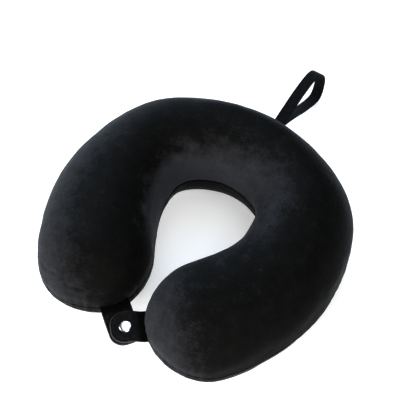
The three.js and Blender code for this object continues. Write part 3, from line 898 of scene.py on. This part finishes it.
def cap_profile():
    dome = [(radius, 2.05 - 0.015 * radius ** 2) for radius in np.linspace(0, 4.3, 14)]
    shoulder = arc((4.15, 0.62), 2.1, 80, 0, 14, height=1.1)
    rim = arc((5.72, 0.62), 0.53, -12, -90, 9)
    return dome + shoulder + rim + [(4.2, 0.09), (1.75, 0.0), (1.75, -3.6), (1.2, -3.7), (0, -3.7)]


def socket_profile():
    return ([(2.1, 0.0)] + arc((5.1, -0.4), 0.4, 90, 0, 6) + [(5.5, -2.3)]
            + arc((5.0, -2.5), 0.5, 0, -90, 8) + arc((3.45, -2.55), 0.45, -90, -180, 8)
            + [(3.0, -0.8), (2.1, -0.8), (2.1, 0.0)])


def stud_profile():
    return ([(1.5, 0.0)] + arc((4.85, 0.4), 0.4, -90, 0, 6) + arc((4.75, 0.4), 0.5, 0, 90, 6)
            + [(3.0, 0.85), (2.1, 0.9), (2.1, 1.6)] + arc((1.75, 2.35), 0.72, -30, 90, 10)
            + [(1.5, 3.1), (1.5, 0.0)])


def eyelet_profile():
    return ([(0, 0.0), (1.2, 0.0), (1.2, -0.25), (1.9, -0.6)] + arc((4.75, -0.4), 0.5, -90, 0, 6)
            + arc((4.85, -0.4), 0.4, 0, 90, 6) + [(1.2, 0.0), (1.2, 3.2), (0, 3.2)])


# The hanging loop

def loop_path():
    """The middle of the strap in side view, as [out, up], evenly spaced."""
    knots = np.array(LOOP["strap"], float)
    knots = np.vstack([knots[:1], knots, knots[-1:]])
    points = []
    for i in range(len(knots) - 3):
        a, b, c, d = knots[i:i + 4]
        for t in np.linspace(0, 1, LOOP["span_steps"], endpoint=False):
            points.append(0.5 * (2 * b + (c - a) * t + (2 * a - 5 * b + 4 * c - d) * t ** 2
                                 + (3 * b - a - 3 * c + d) * t ** 3))
    points.append(knots[-1])
    points = np.array(points)
    lengths = distances_along(points)
    places = np.linspace(0, lengths[-1], LOOP["steps"])
    return points_at(places, lengths, points), places


def loop_section():
    """The webbing's section, as pairs of distance across and up, with its thicker selvedges."""
    half_width, half = LOOP["width"] / 2, LOOP["fill"] * LOOP["thickness"] / 2
    turns = whole_turn(LOOP["sides"])
    wide, high = [np.sign(wave) * np.abs(wave) ** power
                  for wave, power in zip((np.cos(turns), np.sin(turns)), LOOP["squareness"])]
    inset = half_width * (1 - np.abs(wide))
    selvedge = 1 + LOOP["selvedge"] * hump(inset, LOOP["selvedge_inset"], LOOP["selvedge_width"])
    return np.stack([half_width * wide, half * selvedge * high], axis=1)


def loop_piece():
    """Flat webbing, swept round the loop."""
    path, places = loop_path()
    direction = np.gradient(path, axis=0)
    direction /= norm(direction, axis=1)[:, None]
    section = loop_section()
    grid = np.zeros((len(path), len(section), 3))
    grid[..., 0] = LOOP["x"] + section[None, :, 0]
    grid[..., 1] = LOOP["wall_y"] + path[:, None, 0] - direction[:, None, 1] * section[None, :, 1]
    grid[..., 2] = SEAM_Z + path[:, None, 1] + direction[:, None, 0] * section[None, :, 1]
    piece = new_object("hanging_loop_webbing", grid, swept_faces(*grid.shape[:2]))
    map_cloth(piece, grid_pairs(places, section[:, 0]) * MM)
    return piece


# The zipper

def zip_point(angle, outward, height):
    """A point by degrees round the zipper, millimetres outwards of its circle, and height."""
    turn = np.radians(angle)
    radius = ZIP["radius"] + outward
    return np.stack(np.broadcast_arrays(
        ZIP["x"] - radius * np.sin(turn), ZIP["y"] + radius * np.cos(turn), SEAM_Z + height), -1)


def zip_tape(side, sign):
    """A tape with a raised rib, of constant section along the zipper. Corners are [outwards, height]."""
    out = ZIP["tape_out"]
    back = out - ZIP["tape_thickness"]
    corners = [(back, 0.6), (out - 0.1, 0.6), (out, 0.75), (out, 2.4), (out + 0.18, 2.6),
               (out + 0.18, 3.0), (out, 3.2), (out, ZIP["tape_width"]), (back, ZIP["tape_width"])]
    angles = np.linspace(ZIP["from"], ZIP["to"], ZIP["steps"])
    grid = np.array([[zip_point(angle, out, sign * up) for out, up in corners] for angle in angles])
    faces = swept_faces(len(angles), len(corners))
    piece = new_object(f"zipper_tape_{side}_woven", grid, faces)
    map_cloth(piece, grid_pairs(np.radians(angles) * ZIP["radius"], [up for _, up in corners]) * MM)
    return piece


def zip_teeth(side, sign):
    """Turns of the coil: rounded bars that reach past the middle into the other side's gaps."""
    step = math.degrees(ZIP["pitch"] / ZIP["radius"])
    first = ZIP["coil_from"] + step * (0.5 if sign > 0 else 1.0)
    points, faces = [], []
    for angle in np.arange(first, ZIP["coil_to"] - step / 2, step):
        faces += grid_faces(TOOTH["rings"], TOOTH["sides"], start=len(points), closed=True)
        for share in np.linspace(-1, 1, TOOTH["rings"]):
            size = (1 - share ** 4) ** 0.25
            head = 1 + TOOTH["head"] * hump(share, TOOTH["head_place"], TOOTH["head_width"])
            height = sign * (TOOTH["middle"] + TOOTH["half_length"] * share)
            for turn in whole_turn(TOOTH["sides"]):
                slip = TOOTH["half_width"] * size * head * math.cos(turn)
                out = TOOTH["out"] + TOOTH["half_depth"] * size * math.sin(turn)
                points.append(zip_point(angle + math.degrees(slip / ZIP["radius"]), out, height))
    return new_object(f"zipper_coil_{side}_teeth", points, faces)


def bevelled(node, name):
    """A CAD piece with its edges broken."""
    copy = linked("plain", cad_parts[node].data.copy())
    bevel = copy.modifiers.new("edges", "BEVEL")
    bevel.width = BROKEN_EDGE * MM
    bevel.segments = 3
    bevel.limit_method = "ANGLE"
    piece = evaluated_copy(copy, name)
    bpy.data.objects.remove(copy)
    piece.data.polygons.foreach_set("use_smooth", [True] * len(piece.data.polygons))
    return piece


# The set

def aim(thing, target, azimuth, elevation, distance):
    """Points a camera or light at a target, from degrees round from -Y towards +X and degrees up."""
    turn, rise = math.radians(azimuth), math.radians(elevation)
    away = Vector((math.sin(turn) * math.cos(rise), -math.cos(turn) * math.cos(rise), math.sin(rise)))
    thing.matrix_world = (Matrix.Translation(Vector(target) + away * distance)
                          @ away.to_track_quat("Z", "Y").to_matrix().to_4x4())


def make_camera():
    data = bpy.data.cameras.new("camera")
    data.lens = CAMERA["lens"]
    data.sensor_width = CAMERA["sensor"]
    camera = linked("camera", data)
    aim(camera, CAMERA["target"], CAMERA["azimuth"], CAMERA["elevation"], CAMERA["distance"])
    bpy.context.scene.camera = camera


def area_light(name, azimuth, elevation, power, colour):
    data = bpy.data.lights.new(name, "AREA")
    data.shape = "SQUARE"
    data.size = LIGHT_SIZE
    data.energy = power
    data.color = colour
    light = linked(name, data)
    light.visible_glossy = name not in NO_HIGHLIGHT
    aim(light, LIGHT_TARGET, azimuth, elevation, LIGHT_DISTANCE)


def make_set():
    scene = bpy.context.scene
    scene.view_settings.view_transform = "Standard"
    world = bpy.data.worlds.new("studio")
    world.use_nodes = True
    world.node_tree.nodes["Background"].inputs["Color"].default_value = (1, 1, 1, 1)
    world.node_tree.nodes["Background"].inputs["Strength"].default_value = WORLD_STRENGTH
    scene.world = world
    corners = [(x * FLOOR["half"], y * FLOOR["half"], FLOOR["level"])
               for x, y in ((-1, -1), (1, -1), (1, 1), (-1, 1))]
    floor = new_object("floor", corners, [(0, 1, 2, 3)], smooth=False)
    material, tree, base = shader("floor", Roughness=0.9, Specular_IOR_Level=0.1,
                                  Emission_Strength=FLOOR["glow"], Emission_Color=(1, 1, 1, 1))
    tone = noise_node(tree, scale=3)
    colour = ramp_node(tree, tone, [(0.3, (0.9, 0.9, 0.9)), (0.7, (0.93, 0.93, 0.93))])
    tree.links.new(colour, base.inputs["Base Color"])
    floor.data.materials.append(material)
    for name, values in LIGHTS.items():
        area_light(name, *values)


# The pieces

def make_cover(materials):
    skin = simulated_skin()
    for name, sign in (("cover_top", 1), ("cover_bottom", -1)):
        piece = panel(name, sign, skin)
        finish(piece, materials["velour"], "pillow", "velour", name + "_panel")
    liner = inner_body("liner_knit", LINER["inset"], shell=LINER["thickness"])
    finish(liner, materials["liner"], "pillow", "liner", "inner_liner")
    foam = inner_body("foam_block", FOAM_INSET)
    finish(foam, materials["foam"], "pillow", "foam", "foam_core")


def make_tab(tab, materials):
    body = tab["name"]
    piece = tab_piece(tab)
    finish(piece, materials["tab"], None, "tab_fabric", f"{body}_top_ply", f"{body}_stiffener",
           f"{body}_bottom_ply", f"{body}_sewn_end")
    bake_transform(piece)
    finish(tab_stitches(tab), materials["thread"], body, "tab_fabric")


def make_snap(materials):
    rise, half = TAB["rise"], TAB["half_thickness"]
    gap = 0.3
    pieces = [
        ("snap_cap_dome", UPPER, cap_profile(), rise + half + 0.05, "snap_cap"),
        ("snap_socket_ring", UPPER, socket_profile(), rise - half - gap, "snap_socket"),
        ("snap_stud_post", LOWER, stud_profile(), -rise + half + gap, "snap_stud"),
        ("snap_eyelet_rivet", LOWER, eyelet_profile(), -rise - half - gap, "snap_eyelet"),
    ]
    for name, tab, profile, level, node in pieces:
        piece = turned(name, tab, profile, level)
        finish(piece, materials["nickel"], tab["name"], "snap_metal", node)


def make_loop(materials):
    piece = loop_piece()
    finish(piece, materials["webbing"], None, "webbing", "hanging_loop", "hanging_loop_sewn_end")
    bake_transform(piece)


def make_zipper(materials):
    for side, sign in (("upper", 1), ("lower", -1)):
        finish(zip_tape(side, sign), materials["tape"], "pillow", "zipper_tape", f"zipper_tape_{side}")
        finish(zip_teeth(side, sign), materials["coil"], "pillow", "zipper_coil", f"zipper_coil_{side}")
    bodies = {"zipper_slider": "slider", "zipper_pull": "pull"}
    for node in ("zipper_slider", "zipper_pull", "zipper_bottom_stop", "zipper_top_stop_upper",
                 "zipper_top_stop_lower"):
        piece = bevelled(node, node + "_enamel")
        finish(piece, materials["enamel"], bodies.get(node, "pillow"), "zipper_metal", node)


MATERIALS = {
    "velour": velour(),
    "tab": woven("tab_fabric", (0.0012, 0.0012, 0.0013), (0.0055, 0.0055, 0.0058),
                 wave_number=4200, sheen=0.06),
    "thread": plain("thread", (0.004, 0.004, 0.0043), (0.01, 0.01, 0.0108), 3000, 0.0001,
                    Roughness=0.6, Specular_IOR_Level=0.15),
    "webbing": woven("webbing", (0.0013, 0.0012, 0.0013), (0.0058, 0.0053, 0.0056),
                     wave_number=3400, sheen=0.02, depth=0.0002),
    "tape": woven("zipper_tape", (0.004, 0.004, 0.0043), (0.012, 0.012, 0.0126),
                  wave_number=1800, sheen=0.1),
    "coil": plain("zipper_coil", (0.008, 0.008, 0.0086), (0.015, 0.015, 0.016), 800, 0.00002,
                  Roughness=0.3),
    "enamel": plain("enamel", (0.008, 0.008, 0.0086), (0.014, 0.014, 0.015), 500, 0.00002,
                    Roughness=0.28, Coat_Weight=0.4),
    "nickel": metal("nickel", (0.72, 0.72, 0.75), (0.86, 0.86, 0.88), 0.14),
    "liner": plain("liner_knit", (0.62, 0.61, 0.57), (0.8, 0.79, 0.75), 900, 0.0003, Roughness=0.9),
    "foam": plain("foam", (0.7, 0.62, 0.42), (0.88, 0.8, 0.6), 700, 0.0006, Roughness=0.95),
}

make_camera()
make_set()
make_cover(MATERIALS)
make_tab(UPPER, MATERIALS)
make_tab(LOWER, MATERIALS)
make_snap(MATERIALS)
make_loop(MATERIALS)
make_zipper(MATERIALS)

bpy.context.view_layer.update()
